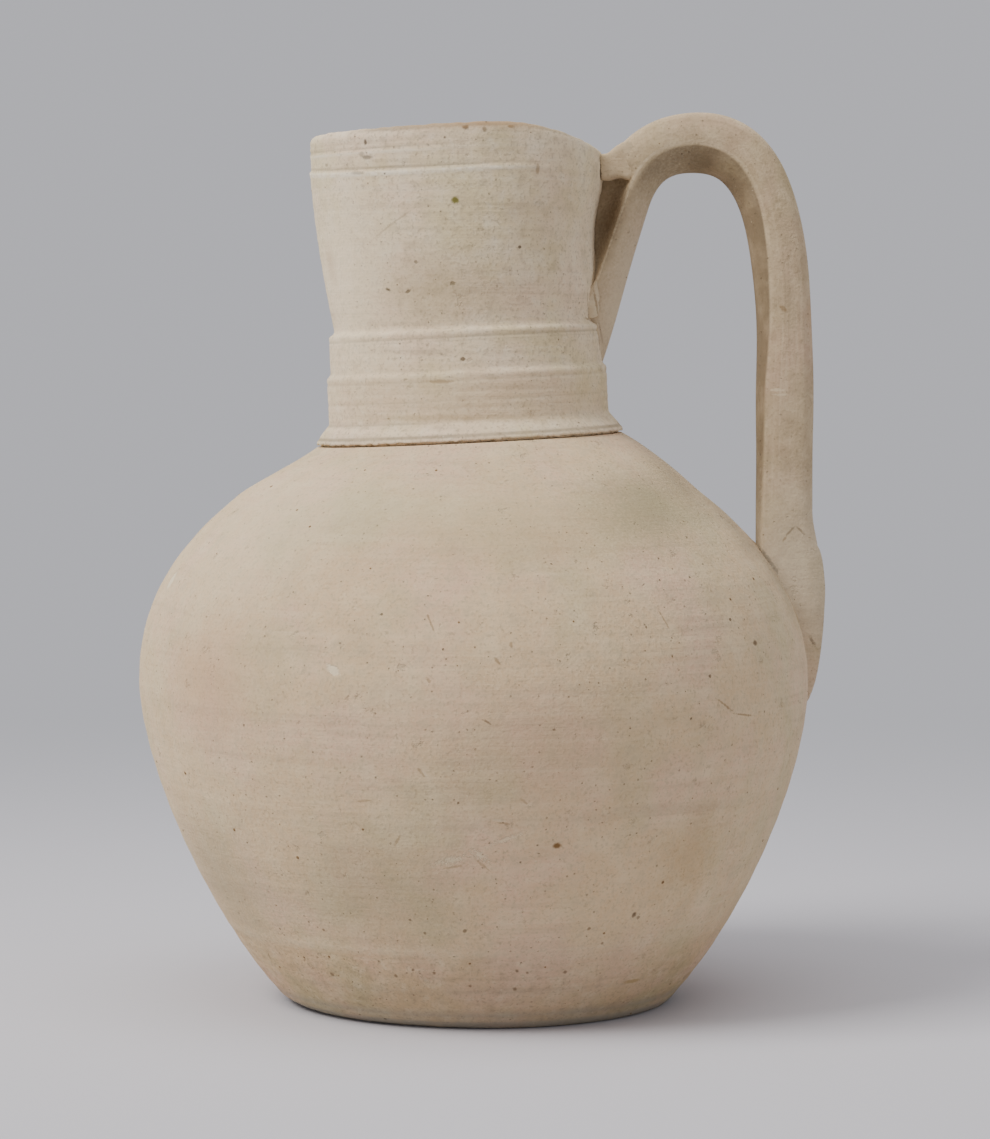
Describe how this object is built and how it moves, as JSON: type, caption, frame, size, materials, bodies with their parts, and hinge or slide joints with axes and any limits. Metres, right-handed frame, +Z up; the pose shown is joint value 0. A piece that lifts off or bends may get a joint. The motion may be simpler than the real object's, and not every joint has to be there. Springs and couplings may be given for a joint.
{
  "type": "ewer",
  "caption": "Small unglazed earthenware ewer: round wheel-thrown body on a flat base, stepped neck with a wide mouth, and a high arched strap handle from rim to shoulder.",
  "frame": {"origin": "centre of the flat base, where the wheel axis meets the table", "axes": "+Z up along the wheel axis, +X towards the handle, -Y towards the viewer of the picture"},
  "size_m": [0.1427, 0.139, 0.1841],
  "materials": {
    "thrown_clay": "unglazed buff earthenware, wheel-thrown, matt and finely gritty, with throwing rings",
    "pulled_clay": "the same clay pulled into a strap by wet hands, matt, with drawn lines along it",
    "pressed_clay": "the same clay pressed on as wads with the thumb, matt, with small cracks at the edges",
    "luting_slip": "thin clay slip that lutes the joints, matt and a little darker"
  },
  "bodies": {
    "root": {"body": "thrown_clay", "neck": "thrown_clay", "neck_slip": "luting_slip", "handle_strap": "pulled_clay", "root_slip": "luting_slip", "rim_wad": "pressed_clay", "root_wad": "pressed_clay", "shoulder_wad": "pressed_clay", "shoulder_slip": "luting_slip"}
  },
  "joints": []
}
